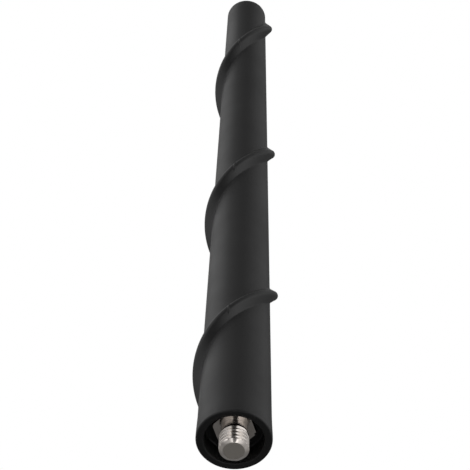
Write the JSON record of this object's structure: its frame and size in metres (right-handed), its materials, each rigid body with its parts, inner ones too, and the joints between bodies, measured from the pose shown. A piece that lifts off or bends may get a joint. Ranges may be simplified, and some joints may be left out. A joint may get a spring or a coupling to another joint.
{
  "type": "roof antenna mast",
  "caption": "Short helical roof antenna mast: tapered rubber cover with a spiral fin, moulded over a wound rod, with a threaded metal stud in its base recess.",
  "frame": {"origin": "on the stud's axis in the plane of the cover's rim", "axes": "+Z along the mast from the rim to the tip; the stud points along -Z"},
  "size_m": [0.0169, 0.0164, 0.1602],
  "materials": {
    "cover_rubber": "satin, finely grained",
    "nickel_plate": "bright nickel plate over turned brass",
    "glass_fibre": "pultruded glass fibre, satin",
    "enamelled_copper": "clear enamelled copper wire",
    "solder": "bright tin",
    "tube_plastic": "shrunk polyolefin tube, satin"
  },
  "bodies": {
    "root": {"mast_cover": "cover_rubber", "threaded_insert": "nickel_plate", "core_rod": "glass_fibre", "radiator_coil": "enamelled_copper", "solder_joint": "solder", "shrink_tube": "tube_plastic"}
  },
  "joints": []
}
